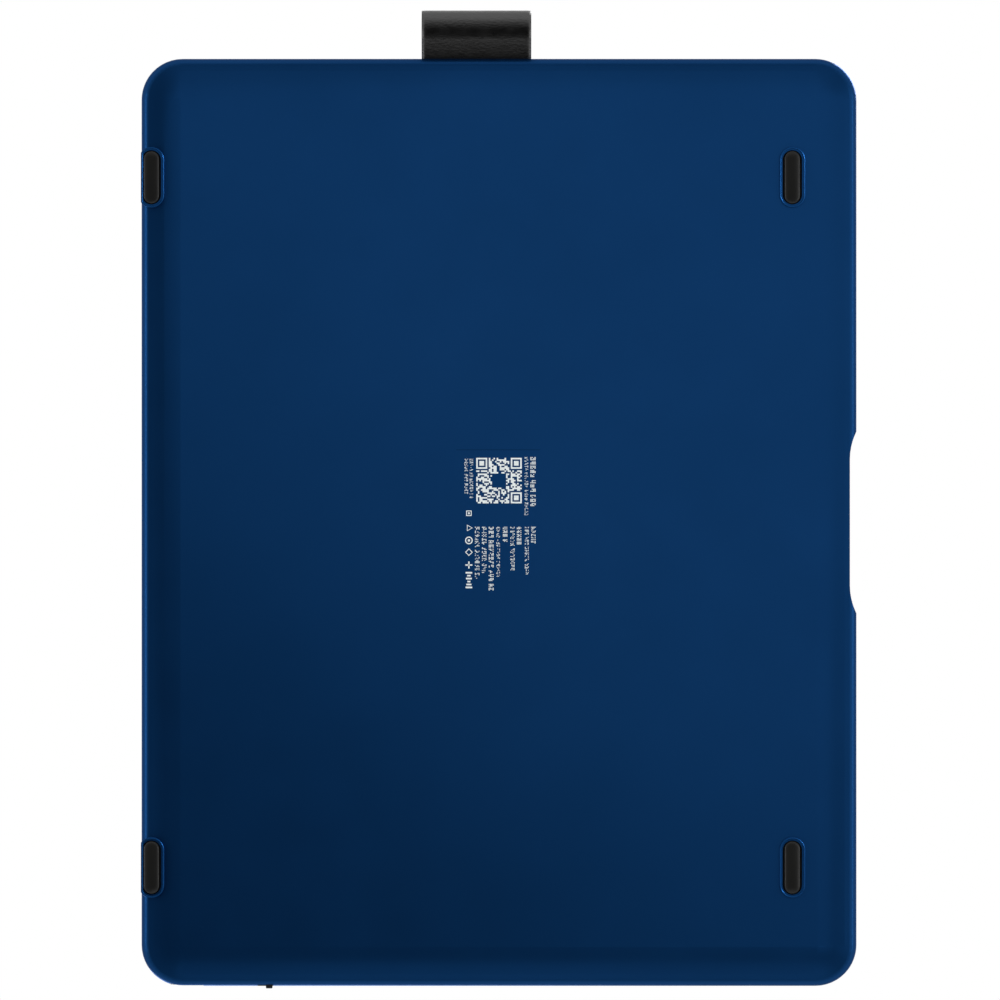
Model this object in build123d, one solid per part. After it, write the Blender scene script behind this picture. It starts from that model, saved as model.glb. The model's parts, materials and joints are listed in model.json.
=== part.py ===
from build123d import *
import os

# Keyboard case for an 11-inch tablet, closed: a keyboard base with a tablet cradle hinged on its rear edge.
# +X is the user's right, +Y is the rear (hinge) side, +Z is up. The feet stand on z = 0.
# Everything is drawn about the middle of the base; ORIGIN_SHIFT then puts the origin under the
# middle of the whole object, because the pen loop stands out on the left only. Units: mm.

# ---- driving dimensions: base ----
BASE_LENGTH = 253.0
BASE_DEPTH = 195.1
CORNER_R = 11.2
UNDERSIDE_Z = 1.0
SPLIT_Z = 5.0
DECK_Z = 8.6
FLOOR = 1.2
DECK_SKIN = 1.2
EDGE_SOLID = 5.0          # the moulded edge is solid this far in from the outline
ROLL_RUN = 7.0            # the underside curves up to the sides over this width
ROLL_RISE = 1.8
ROLL_INNER_R = 30.0
ROLL_OUTER_R = 2.7
DECK_EDGE_R = 1.4
CLEARANCE = 0.3
PAST = 1.0                # how far a cutter runs past the face that it opens

# ---- driving dimensions: finger notch, feet, pen loop ----
NOTCH_FLOOR_HALF = 17.2
NOTCH_MOUTH_HALF = 24.85
NOTCH_DEPTH = 1.9
FOOT_X = 94.0
FOOT_FRONT_Y = -79.9
FOOT_REAR_Y = 94.7
FOOT_LENGTH = 14.4
FOOT_WIDTH = 4.3
FOOT_ROUND = 0.8
FOOT_RECESS = 0.6
RIM_LENGTH = 16.5
RIM_WIDTH = 7.0
RIM_WALL = 0.85
RIM_PROUD = 0.5
RIM_TOP_Z = 4.0           # the rear rims run up the rolled edge as far as this
RIM_ROUND = 0.45
LOOP_REACH = 13.4
LOOP_WIDTH = 29.9
LOOP_Y = 6.15
LOOP_R = 6.0
LOOP_Z = 7.8
STRAP = 1.2
STRAP_TAIL_Z = 4.6
STRAP_TAIL = 5.0
STRAP_NECK = 0.4          # the tails part from each other this far outside the base
RIVET_R = 0.8
RIVET_INSET = 0.3
RIVET_Z = (3.2, 7.4)

# ---- driving dimensions: power switch ----
SIDE_WALL = 1.6
SWITCH_Y = 62.7
SWITCH_TRAVEL = 2.0
SWITCH_FLOOR_Z = 2.8
SWITCH_TOP_Z = 4.6
SWITCH_HALF = 3.5
SWITCH_WALL_GAP = 0.4
SWITCH_FACE_GAP = 0.9
POCKET_HALF = 4.0
KNOB_WIDTH = 1.8
KNOB_PROUD = 0.65
KNOB_Z = (3.7, 4.5)
KNOB_ROOT = 0.6
KNOB_R = 0.3
SLOT_GAP = 0.25

# ---- driving dimensions: keys ----
KEY_UNITS = 14.5
KEY_PITCH_X = 16.3
KEY_PITCH_Y = 17.0
KEY_GAP = 2.4
FUNCTION_DEPTH = 8.6
ARROW_GAP = 1.2
KEY_REAR_Y = 76.5
KEY_TOP_Z = 8.4
KEY_BOTTOM_Z = 6.6
KEY_CORNER_R = 1.3
KEY_EDGE_R = 0.45
KEY_OPENING = 0.4         # gap all round a key in the deck
WELL_MARGIN = 1.2
WELL_FLOOR_TOP = 7.2
WELL_FLOOR_UNDER = 6.2
WELL_LEDGE = 0.8
WELL_WALL = 1.5
MEMBRANE = 0.2
BACKPLATE = 0.5
PLATE_MARGIN_X = 1.4
PLATE_MARGIN_Y = 1.2
SCISSOR_FOLDED = 0.4
SCISSOR_INSET_X = 4.0
SCISSOR_INSET_Y = 3.0
SCISSOR_BAR = 1.0

# ---- driving dimensions: touchpad ----
PAD_LENGTH = 116.0
PAD_DEPTH = 64.0
PAD_Y = -58.0
PAD_TOP_Z = 8.5
PAD_GLASS = 1.0
PAD_EDGE_R = 0.25
PAD_BOARD = 0.6
PAD_BOARD_INSET = 3.0
PAD_CORNER_R = 4.0
BRACKET_Z = 5.4
BRACKET = 0.6
BRACKET_WING = 3.0        # the tray is longer than the pad by this at each end
BRACKET_SETBACK = 2.0
BRACKET_R = 2.0
BRACKET_HOLE = (60.0, 24.0, 3.0)
BRACKET_HOLE_Y = 14.0
BRACKET_POST_R = 1.3
BRACKET_POST_OUT = 1.6
BRACKET_POST_Y = 24.0
DOME_PLATE = 6.0
DOME_PLATE_THICK = 0.25
DOME_R = 1.6
DOME_PRESSED = 0.17
DOME_Y = -23.0

# ---- driving dimensions: pieces inside the base ----
RIB = 1.2
RIB_X = (-90.0, -45.0, 0.0, 45.0, 90.0)
RIB_Y = (-16.0, 76.0)
BOSS_R = 3.2
SCREW_R = 0.8
SCREW_HEAD_R = 1.6
SCREW_HEAD = 0.8
BASE_SCREW_TIP_Z = 7.2
BOARD_X = (4.0, 117.5)
BOARD_Y = (80.4, 91.4)
BOARD_Z = (2.8, 3.8)
STANDOFF_R = 1.5
STANDOFF_X = (40.0, 80.0, 112.0)
STANDOFF_Y = 86.4
CHIP_HEIGHT = 1.0
CHIPS = ((30.0, 7.0), (60.0, 5.0), (95.0, 6.0))  # x and side of each
BATTERY_X = (62.0, 116.0)
BATTERY_Y = (-74.0, -26.0)
BATTERY_TOP_Z = 5.8
BATTERY_R = 1.2
LEAD_X = (100.0, 104.0)
LEAD_RAISED = 0.2
LEAD_THICK = 0.9
RIBBON = 0.2
KEY_RIBBON_X = (70.0, 86.0)
KEY_RIBBON_END_Y = 83.5
PAD_RIBBON_X = (22.0, 32.0)
PAD_RIBBON_INSET = 4.0
PAD_RIBBON_END_Y = 82.0
MAGNET_X = (-72.0, 72.0)
MAGNET_LENGTH = 12.0
MAGNET_Y = (-91.5, -86.5)
MAGNET_Z = 5.2
SOCKET_Y = 85.2
SOCKET_Z = 5.4
SOCKET_BACK_X = 118.7
SOCKET_INSET = 0.4
SOCKET_WIDTH = 9.0
SOCKET_HEIGHT = 3.1
SOCKET_WALL = 0.3
SOCKET_BACK_WALL = 0.6
TONGUE_HALF_WIDTH = 3.2
TONGUE_HALF = 0.35
TONGUE_INSET = 0.8
SOCKET_MOUTH_HALF_Y = 4.6
SOCKET_MOUTH_Z = (3.8, 7.0)
LIGHT_X = (104.0, 109.0, 114.0)
LIGHT_Y = 83.4
LIGHT_LENGTH = 3.0
LIGHT_WIDTH = 1.2

# ---- driving dimensions: lid ----
LID_LENGTH = 251.4
LID_DEPTH = 182.3
LID_FRONT_Y = -95.1
LID_CORNER_R = 11.6
LID_WALL = 1.6
LID_LOW_Z = 9.0
LID_SPLIT_Z = 14.6
LID_PLATE_Z = 16.4
LID_TOP_Z = 18.0
LID_EDGE_R = 2.6
RIM_EDGE_R = 0.7
LIP = 0.8
LIP_OVERHANG = 1.8
LINING = 0.3
LINING_INSET = 0.4
CAMERA_X = -104.0
CAMERA_Y = -74.0
CAMERA_SIZE = 32.0
CAMERA_R = 8.0
CAMERA_WALL = 1.2
COLLAR_OUT = 1.5
COLLAR_PROUD = 0.7
COLLAR_R = 0.35
PUSHER_HEIGHT = 2.0
PUSHER_PROUD = 0.5
PUSHER_R = 0.4
VOLUME_UP_X = -98.0
VOLUME_DOWN_X = -82.0
VOLUME_LENGTH = 11.0
POWER_Y = -72.0
POWER_LENGTH = 12.0
BUTTON_Z = 12.7
SOUND_SLOT_Y = (-48.0, 62.0)
SOUND_SLOT_HALF = 10.0
SOUND_SLOT_HALF_Z = 1.2
PORT_WINDOW_HALF = 7.0
PORT_WINDOW_Z = 10.1

# ---- driving dimensions: hinge ----
HINGE_Y = 92.6
HINGE_Z = 13.5
BARREL_R = 4.5
BARREL_HALF = 95.6
WEB_HALF = 90.0
WEB_HALF_Z = 3.0
POST_START = 96.0
POST_LENGTH = 12.0
POST_CAP = 2.0
PIN_R = 1.5
PIN_START = 84.0
PIN_END_GAP = 0.4
SLEEVE_R = 2.6
SLEEVE_LENGTH = 11.4
RUNNING = 0.05
HINGE_SCREW_X = (99.0, 105.0)
HINGE_SCREW_Y = 90.2
HINGE_SCREW_HEAD_R = 1.5
HINGE_SCREW_HEAD = 1.0
HINGE_SCREW_HEAD_Z = 6.4
HINGE_SCREW_TIP_Z = 11.2
HINGE_SCREW_HOLE_Z = 7.0
LID_SCREW_X = (-78.0, -47.0, -16.0, 16.0, 47.0, 78.0)
LID_SCREW_Z = 12.9
LID_SCREW_HEAD_R = 1.5
LID_SCREW_HEAD = 0.7
LID_SCREW_SHAFT = 4.8

# ---- worked out from the above ----
FRONT_Y = -BASE_DEPTH / 2
RIGHT_X = BASE_LENGTH / 2
FLOOR_TOP = UNDERSIDE_Z + FLOOR
RECESS_TOP = UNDERSIDE_Z + FOOT_RECESS
DECK_UNDER = DECK_Z - DECK_SKIN
MEMBRANE_Z = SPLIT_Z - MEMBRANE
INSIDE_X = RIGHT_X - EDGE_SOLID
INSIDE_Y = BASE_DEPTH / 2 - EDGE_SOLID
STRAP_TOP_Z = STRAP_TAIL_Z + 2 * STRAP
LID_Y = LID_FRONT_Y + LID_DEPTH / 2
LID_REAR_Y = LID_FRONT_Y + LID_DEPTH
LID_LEFT_X = -LID_LENGTH / 2
LOOP_X = -RIGHT_X - LOOP_REACH + LOOP_R
ORIGIN_SHIFT = (LOOP_REACH - KNOB_PROUD) / 2
KEY_DEPTH = KEY_PITCH_Y - KEY_GAP
KEY_FIELD_HALF = KEY_UNITS * KEY_PITCH_X / 2
FEET = {
    "rubber_foot_front_left": (-FOOT_X, FOOT_FRONT_Y),
    "rubber_foot_front_right": (FOOT_X, FOOT_FRONT_Y),
    "rubber_foot_rear_left": (-FOOT_X, FOOT_REAR_Y),
    "rubber_foot_rear_right": (FOOT_X, FOOT_REAR_Y),
}
FRONT_FEET = [FEET["rubber_foot_front_left"], FEET["rubber_foot_front_right"]]
# Each row from rear to front: (node the key belongs to, width in key units).
KEY_ROWS = [
    [("escape_key", KEY_UNITS / 14)] + [("function_row_keys", KEY_UNITS / 14)] * 13,
    [("number_row_keys", 1)] * 13 + [("backspace_key", 1.5)],
    [("tab_key", 1.5)] + [("upper_row_keys", 1)] * 13,
    [("caps_key", 1.75)] + [("home_row_keys", 1)] * 11 + [("enter_key", 1.75)],
    [("left_shift_key", 2.25)] + [("lower_row_keys", 1)] * 10 + [("right_shift_key", 2.25)],
    [("bottom_row_keys", 1)] * 3
    + [("bottom_row_keys", 1.25), ("space_key", 5), ("bottom_row_keys", 1.25), ("bottom_row_keys", 1)]
    + [("left_arrow_key", 1), ("up_and_down_arrows", 1), ("right_arrow_key", 1)],
]
# Each pusher: centre x, centre y, length, and the direction in which it stands out.
PUSHERS = {
    "volume_up_pusher": (VOLUME_UP_X, LID_FRONT_Y, VOLUME_LENGTH, (0, -1)),
    "volume_down_pusher": (VOLUME_DOWN_X, LID_FRONT_Y, VOLUME_LENGTH, (0, -1)),
    "power_pusher": (LID_LEFT_X, POWER_Y, POWER_LENGTH, (-1, 0)),
}


# ---- shapes that repeat ----

def block(x_range, y_range, z_range):
    """A box given by its lowest and highest x, y and z."""
    (x0, x1), (y0, y1), (z0, z1) = x_range, y_range, z_range
    middle = Pos((x0 + x1) / 2, (y0 + y1) / 2, (z0 + z1) / 2)
    return middle * Box(x1 - x0, y1 - y0, z1 - z0)


def about(middle, half):
    """A range with this middle and half width."""
    return (middle - half, middle + half)


def on_side(side, x_low, x_high):
    """An x range on the right (side 1), or its mirror image on the left (side -1)."""
    return (x_low, x_high) if side > 0 else (-x_high, -x_low)


def rounded_block(length, depth, radius, z_range, x=0.0, y=0.0):
    """An upright block with rounded corners, centred at x, y."""
    z_low, z_high = z_range
    return Pos(x, y, z_low) * extrude(RectangleRounded(length, depth, radius), z_high - z_low)


def obround_block(length, width, z_range, x, y):
    """An upright block with fully rounded ends, long in X."""
    z_low, z_high = z_range
    return Pos(x, y, z_low) * extrude(SlotOverall(length, width), z_high - z_low)


def upright_rod(radius, z_range, x, y):
    z_low, z_high = z_range
    return Pos(x, y, (z_low + z_high) / 2) * Cylinder(radius, z_high - z_low)


def cross_rod(radius, x_range, y=HINGE_Y, z=HINGE_Z):
    """A cylinder along X, on the hinge's axis unless told otherwise."""
    x_low, x_high = x_range
    return Pos((x_low + x_high) / 2, y, z) * Rot(0, 90, 0) * Cylinder(radius, x_high - x_low)


def top_edges(shape):
    return shape.faces().sort_by(Axis.Z)[-1].edges()


def bottom_edges(shape):
    return shape.faces().sort_by(Axis.Z)[0].edges()


# ---- keys ----

def key_places():
    """Every key: (node, x, y, width, depth)."""
    places = []
    rear = KEY_REAR_Y
    for row_number, row in enumerate(KEY_ROWS):
        depth = FUNCTION_DEPTH if row_number == 0 else KEY_DEPTH
        left = -KEY_FIELD_HALF
        for node, units in row:
            width = units * KEY_PITCH_X - KEY_GAP
            x = left + units * KEY_PITCH_X / 2
            y = rear - depth / 2
            if node == "up_and_down_arrows":
                half = (depth - ARROW_GAP) / 2
                offset = (depth - half) / 2
                places.append(("up_arrow_key", x, y + offset, width, half))
                places.append(("down_arrow_key", x, y - offset, width, half))
            else:
                places.append((node, x, y, width, depth))
            left += units * KEY_PITCH_X
        rear -= depth + KEY_GAP
    return places


KEYS = key_places()
WELL_X = about(0, KEY_FIELD_HALF - KEY_GAP / 2 + WELL_MARGIN)
WELL_Y = (min(y - depth / 2 for node, x, y, width, depth in KEYS) - WELL_MARGIN, KEY_REAR_Y + WELL_MARGIN)


def key_cap(width, depth):
    cap = rounded_block(width, depth, KEY_CORNER_R, (KEY_BOTTOM_Z, KEY_TOP_Z))
    return fillet(top_edges(cap), KEY_EDGE_R)


def key_nodes():
    """The key caps, grouped by the node that each belongs to."""
    shapes = {}
    nodes = {}
    for node, x, y, width, depth in KEYS:
        size = (round(width, 3), round(depth, 3))
        if size not in shapes:
            shapes[size] = key_cap(width, depth)
        nodes.setdefault(node, []).append(Pos(x, y, 0) * shapes[size])
    return nodes


def key_plate(z_range):
    """A sheet under the whole key field, a little wider than the well."""
    x_range = (WELL_X[0] - PLATE_MARGIN_X, WELL_X[1] + PLATE_MARGIN_X)
    return block(x_range, (WELL_Y[0] - PLATE_MARGIN_Y, WELL_Y[1] + PLATE_MARGIN_Y), z_range)


def key_scissors():
    """The folded scissor frame under each key."""
    frames = []
    for node, x, y, width, depth in KEYS:
        length = min(width, KEY_PITCH_X) - SCISSOR_INSET_X
        reach = depth - SCISSOR_INSET_Y
        hole = Box(length - 2 * SCISSOR_BAR, reach - 2 * SCISSOR_BAR, 2 * SCISSOR_FOLDED)
        frame = Box(length, reach, SCISSOR_FOLDED) - hole
        frames.append(Pos(x, y, SPLIT_Z + SCISSOR_FOLDED / 2) * frame)
    return frames


# ---- cutters that the two halves of the base share ----

def notch_cutter():
    """The finger notch: a flat floor with an arc each side, cut straight up through the base."""
    floor_y = FRONT_Y + NOTCH_DEPTH
    outside_y = FRONT_Y - 2 * PAST
    floor_line = Line((-NOTCH_FLOOR_HALF, floor_y), (NOTCH_FLOOR_HALF, floor_y))
    right_arc = TangentArc((NOTCH_FLOOR_HALF, floor_y), (NOTCH_MOUTH_HALF, FRONT_Y), tangent=(1, 0))
    left_arc = TangentArc((-NOTCH_FLOOR_HALF, floor_y), (-NOTCH_MOUTH_HALF, FRONT_Y), tangent=(-1, 0))
    outside = Polyline(
        (NOTCH_MOUTH_HALF, FRONT_Y),
        (NOTCH_MOUTH_HALF, outside_y),
        (-NOTCH_MOUTH_HALF, outside_y),
        (-NOTCH_MOUTH_HALF, FRONT_Y),
    )
    outline = make_face(floor_line + right_arc + left_arc + outside)
    return Pos(0, 0, -PAST) * extrude(outline, DECK_Z + 2 * PAST)


def cavity(z_range):
    """The hollow inside the base, between two heights."""
    return rounded_block(2 * INSIDE_X, 2 * INSIDE_Y, CORNER_R - EDGE_SOLID, z_range)


def strap_tail_cutter():
    """The slot in the left side where the two ends of the pen loop go in between the shells."""
    x_range = (-RIGHT_X - PAST, -RIGHT_X + STRAP_TAIL)
    return block(x_range, about(LOOP_Y, LOOP_WIDTH / 2), (STRAP_TAIL_Z, STRAP_TOP_Z))


def rivets():
    """Three rivets through both tails of the strap; the same shapes cut their holes."""
    x = -RIGHT_X + STRAP_TAIL / 2 + RIVET_INSET
    return [upright_rod(RIVET_R, RIVET_Z, x, LOOP_Y + step * LOOP_WIDTH / 3) for step in (-1, 0, 1)]


def socket_opening():
    """The mouth for the charging socket in the right side."""
    x_range = (INSIDE_X - PAST, RIGHT_X + PAST)
    return block(x_range, about(SOCKET_Y, SOCKET_MOUTH_HALF_Y), SOCKET_MOUTH_Z)


def base_screw_hole(x, y):
    return upright_rod(SCREW_R, (UNDERSIDE_Z, BASE_SCREW_TIP_Z), x, y)


# ---- base shells ----

def rolled_blank():
    """The lower moulding as a solid block whose underside rolls up into the sides."""
    blank = rounded_block(BASE_LENGTH, BASE_DEPTH, CORNER_R, (UNDERSIDE_Z, SPLIT_Z))
    underside = blank.faces().sort_by(Axis.Z)[0]
    blank = chamfer(underside.edges(), ROLL_RUN, ROLL_RISE, reference=underside)
    blank = fillet(bottom_edges(blank), ROLL_INNER_R)
    roll_z = UNDERSIDE_Z + ROLL_RISE
    level = [e for e in blank.edges() if e.bounding_box().size.Z < 0.01]
    return fillet([e for e in level if abs(e.center().Z - roll_z) < 0.01], ROLL_OUTER_R)


def foot_recess(x, y):
    """The recess that a foot is glued into, with the seat of the screw above it."""
    length = RIM_LENGTH - 2 * RIM_WALL
    width = RIM_WIDTH - 2 * RIM_WALL
    recess = obround_block(length, width, (-PAST, RECESS_TOP), x, y)
    return recess + upright_rod(SCREW_HEAD_R, (UNDERSIDE_Z, RECESS_TOP + SCREW_HEAD), x, y)


def switch_pocket():
    """The pocket of the power switch and the slot that its knob slides in."""
    x_range = (WELL_X[1] + SIDE_WALL, RIGHT_X - SIDE_WALL)
    pocket = block(x_range, about(SWITCH_Y, POCKET_HALF), (SWITCH_FLOOR_Z, SPLIT_Z))
    slot_x = (RIGHT_X - SIDE_WALL - PAST, RIGHT_X + PAST)
    reach = KNOB_WIDTH / 2 + SLOT_GAP
    slot_y = (SWITCH_Y - reach, SWITCH_Y + reach + SWITCH_TRAVEL)
    return pocket + block(slot_x, slot_y, (KNOB_Z[0] - SLOT_GAP, KNOB_Z[1] + SLOT_GAP))


def bottom_shell():
    """The lower moulding: rolled edges, foot rims, hollow inside with ribs and screw bosses."""
    shell = rolled_blank()
    outline = rounded_block(BASE_LENGTH, BASE_DEPTH, CORNER_R, (-PAST, SPLIT_Z))
    for x, y in FEET.values():
        rim = obround_block(RIM_LENGTH, RIM_WIDTH, (UNDERSIDE_Z - RIM_PROUD, RIM_TOP_Z), x, y)
        shell += fillet(bottom_edges(rim), RIM_ROUND) & outline
    shell -= cavity((FLOOR_TOP, SPLIT_Z))
    for x, y in FRONT_FEET:
        shell += upright_rod(BOSS_R, (RECESS_TOP, SPLIT_Z), x, y)
    for x, y in FEET.values():
        shell -= foot_recess(x, y)
        shell -= base_screw_hole(x, y)
    for x in RIB_X:
        shell += block(about(x, RIB / 2), RIB_Y, (FLOOR_TOP, MEMBRANE_Z - BACKPLATE))
    for x in STANDOFF_X:
        shell += upright_rod(STANDOFF_R, (FLOOR_TOP, BOARD_Z[0]), x, STANDOFF_Y)
    shell -= notch_cutter()
    shell -= strap_tail_cutter()
    shell -= rivets()
    shell -= socket_opening()
    return shell - switch_pocket()


def hinge_screw_places():
    return [(side * x, HINGE_SCREW_Y) for side in (-1, 1) for x in HINGE_SCREW_X]


def light_pipe(z_range, x):
    return obround_block(LIGHT_LENGTH, LIGHT_WIDTH, z_range, x, LIGHT_Y)


def key_opening(x, y, width, depth):
    length = width + 2 * KEY_OPENING
    reach = depth + 2 * KEY_OPENING
    return rounded_block(length, reach, KEY_CORNER_R + KEY_OPENING, (SPLIT_Z, DECK_Z), x, y)


def deck_frame():
    """The upper moulding: palm rest, key well with an opening for each key, touchpad opening."""
    deck = rounded_block(BASE_LENGTH, BASE_DEPTH, CORNER_R, (SPLIT_Z, DECK_Z))
    deck = fillet(top_edges(deck), DECK_EDGE_R)
    deck -= block(WELL_X, WELL_Y, (WELL_FLOOR_TOP, DECK_Z + PAST))
    under_x = (WELL_X[0] + WELL_LEDGE, WELL_X[1] - WELL_LEDGE)
    under_y = (WELL_Y[0] + WELL_LEDGE, WELL_Y[1] - WELL_LEDGE)
    deck -= block(under_x, under_y, (SPLIT_Z, WELL_FLOOR_UNDER))
    hollow = cavity((SPLIT_Z, DECK_UNDER))
    hollow_z = (SPLIT_Z, DECK_UNDER)
    deck -= hollow & block(about(0, INSIDE_X), (-INSIDE_Y, WELL_Y[0] - WELL_WALL), hollow_z)
    deck -= hollow & block(about(0, INSIDE_X), (WELL_Y[1] + WELL_WALL, INSIDE_Y), hollow_z)
    for x, y in FRONT_FEET:
        deck += upright_rod(BOSS_R, hollow_z, x, y)
    deck -= [key_opening(x, y, width, depth) for node, x, y, width, depth in KEYS]
    deck -= rounded_block(PAD_LENGTH, PAD_DEPTH, PAD_CORNER_R, (SPLIT_Z, DECK_Z + PAST), 0, PAD_Y)
    deck -= [base_screw_hole(x, y) for x, y in FEET.values()]
    hinge_hole_z = (HINGE_SCREW_HOLE_Z, DECK_Z + PAST)
    deck -= [upright_rod(SCREW_R, hinge_hole_z, x, y) for x, y in hinge_screw_places()]
    deck -= [light_pipe((SPLIT_Z, DECK_Z + PAST), x) for x in LIGHT_X]
    deck -= notch_cutter()
    deck -= strap_tail_cutter()
    deck -= rivets()
    return deck - socket_opening()


# ---- feet, pen loop, screws ----

def rubber_foot(x, y):
    foot = obround_block(FOOT_LENGTH, FOOT_WIDTH, (0, RECESS_TOP), x, y)
    return fillet(bottom_edges(foot), FOOT_ROUND)


def pen_loop():
    """A strap folded into a round loop; both tails go into the slot in the base's left side."""
    tail_x = -RIGHT_X + STRAP_TAIL
    neck_x = -RIGHT_X - STRAP_NECK
    outer = Pos(LOOP_X, LOOP_Z) * Circle(LOOP_R)
    inner = Pos(LOOP_X, LOOP_Z) * Circle(LOOP_R - STRAP)
    # The neck's two outer corners lie just inside the loop's outer circle.
    neck = Polygon(
        (LOOP_X + STRAP, LOOP_Z - LOOP_R + STRAP / 10),
        (neck_x, STRAP_TAIL_Z),
        (neck_x, STRAP_TOP_Z),
        (LOOP_X + 3.4, LOOP_Z + 4.9),
        align=None,
    )
    tails = Pos((neck_x + tail_x) / 2, STRAP_TAIL_Z + STRAP) * Rectangle(tail_x - neck_x, 2 * STRAP)
    section = outer + neck + tails - inner
    strap = extrude(Plane.XZ * section, LOOP_WIDTH / 2, both=True)
    return Pos(0, LOOP_Y, 0) * strap - rivets()


def upright_screw(head_r, head_z, head_height, tip_z, x, y):
    """A flat-headed screw that points up."""
    head = upright_rod(head_r, (head_z, head_z + head_height), x, y)
    return head + upright_rod(SCREW_R, (head_z + head_height, tip_z), x, y)


def base_screws():
    return [
        upright_screw(SCREW_HEAD_R, RECESS_TOP, SCREW_HEAD, BASE_SCREW_TIP_Z, x, y) for x, y in FEET.values()
    ]


def hinge_screws():
    return [
        upright_screw(HINGE_SCREW_HEAD_R, HINGE_SCREW_HEAD_Z, HINGE_SCREW_HEAD, HINGE_SCREW_TIP_Z, x, y)
        for x, y in hinge_screw_places()
    ]


# ---- pieces inside the base ----

def main_board():
    """The controller board along the rear, with its chips."""
    board = block(BOARD_X, BOARD_Y, BOARD_Z)
    chip_z = (BOARD_Z[1], BOARD_Z[1] + CHIP_HEIGHT)
    for x, side in CHIPS:
        board += block(about(x, side / 2), about(STANDOFF_Y, side / 2), chip_z)
    return board


def battery_cell():
    cell = block(BATTERY_X, BATTERY_Y, (FLOOR_TOP, BATTERY_TOP_Z))
    return fillet(cell.edges().filter_by(Axis.Y), BATTERY_R)


def battery_lead():
    """The battery's flat pair of wires, back between two ribs to the board."""
    low = FLOOR_TOP + LEAD_RAISED
    return block(LEAD_X, (BATTERY_Y[1], BOARD_Y[0]), (low, low + LEAD_THICK))


def keyboard_ribbon():
    """The membrane's tail, down on to the board."""
    board_top = BOARD_Z[1]
    turn_y = BOARD_Y[0] + RIBBON
    top = block(KEY_RIBBON_X, (WELL_Y[1] + PLATE_MARGIN_Y, turn_y), (MEMBRANE_Z, SPLIT_Z))
    drop = block(KEY_RIBBON_X, (BOARD_Y[0], turn_y), (board_top + RIBBON, SPLIT_Z))
    return top + drop + block(KEY_RIBBON_X, (BOARD_Y[0], KEY_RIBBON_END_Y), (board_top, board_top + RIBBON))


def touchpad_ribbon():
    """From the bracket down, then back under the keys to the board."""
    start_y = PAD_Y + PAD_DEPTH / 2 - PAD_RIBBON_INSET
    board_top = BOARD_Z[1]
    run = block(PAD_RIBBON_X, (start_y, PAD_RIBBON_END_Y), (board_top, board_top + RIBBON))
    return run + block(PAD_RIBBON_X, (start_y, start_y + RIBBON), (board_top, BRACKET_Z))


def usb_c_socket():
    """A pressed metal shell around a thin tongue, open to the right."""
    mouth_x = RIGHT_X - SOCKET_INSET
    hollow_x = SOCKET_BACK_X + SOCKET_BACK_WALL
    hollow_size = (SOCKET_WIDTH - 2 * SOCKET_WALL, SOCKET_HEIGHT - 2 * SOCKET_WALL)
    outside = Plane.YZ * SlotOverall(SOCKET_WIDTH, SOCKET_HEIGHT)
    inside = Plane.YZ * SlotOverall(*hollow_size)
    shell = Pos(SOCKET_BACK_X, SOCKET_Y, SOCKET_Z) * extrude(outside, mouth_x - SOCKET_BACK_X)
    hollow = Pos(hollow_x, SOCKET_Y, SOCKET_Z) * extrude(inside, mouth_x - hollow_x)
    tongue_x = (SOCKET_BACK_X + SOCKET_WALL, mouth_x - TONGUE_INSET)
    tongue = block(tongue_x, about(SOCKET_Y, TONGUE_HALF_WIDTH), about(SOCKET_Z, TONGUE_HALF))
    return shell - hollow + tongue


def power_switch_body():
    x_range = (WELL_X[1] + SIDE_WALL + SWITCH_WALL_GAP, RIGHT_X - SIDE_WALL - SWITCH_FACE_GAP)
    return block(x_range, about(SWITCH_Y, SWITCH_HALF), (SWITCH_FLOOR_Z, SWITCH_TOP_Z))


def power_switch_knob():
    """The slider's finger stub, standing out of the slot."""
    x_range = (RIGHT_X - SIDE_WALL - KNOB_ROOT, RIGHT_X + KNOB_PROUD)
    knob = block(x_range, about(SWITCH_Y, KNOB_WIDTH / 2), KNOB_Z)
    return fillet(knob.faces().sort_by(Axis.X)[-1].edges(), KNOB_R)


def base_magnets():
    return [block(about(x, MAGNET_LENGTH / 2), MAGNET_Y, (MAGNET_Z, DECK_UNDER)) for x in MAGNET_X]


def touchpad_plate():
    length = PAD_LENGTH - 2 * CLEARANCE
    depth = PAD_DEPTH - 2 * CLEARANCE
    z_range = (PAD_TOP_Z - PAD_GLASS, PAD_TOP_Z)
    plate = rounded_block(length, depth, PAD_CORNER_R - CLEARANCE, z_range, 0, PAD_Y)
    return fillet(top_edges(plate), PAD_EDGE_R)


def touchpad_board():
    length = PAD_LENGTH - 2 * PAD_BOARD_INSET
    depth = PAD_DEPTH - 2 * PAD_BOARD_INSET
    top = PAD_TOP_Z - PAD_GLASS
    return rounded_block(length, depth, PAD_CORNER_R / 2, (top - PAD_BOARD, top), 0, PAD_Y)


def touchpad_bracket():
    """A pressed tray under the touchpad, hung from the deck by four posts."""
    length = PAD_LENGTH + 2 * BRACKET_WING
    depth = PAD_DEPTH - 2 * BRACKET_SETBACK
    tray = rounded_block(length, depth, BRACKET_R, (BRACKET_Z, BRACKET_Z + BRACKET), 0, PAD_Y)
    hole_z = (BRACKET_Z - PAST, BRACKET_Z + BRACKET + PAST)
    tray -= rounded_block(*BRACKET_HOLE, hole_z, 0, PAD_Y + BRACKET_HOLE_Y)
    post_x = PAD_LENGTH / 2 + BRACKET_POST_OUT
    for x in (-post_x, post_x):
        for y in (PAD_Y - BRACKET_POST_Y, PAD_Y + BRACKET_POST_Y):
            tray += upright_rod(BRACKET_POST_R, (BRACKET_Z, DECK_UNDER), x, y)
    return tray


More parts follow.
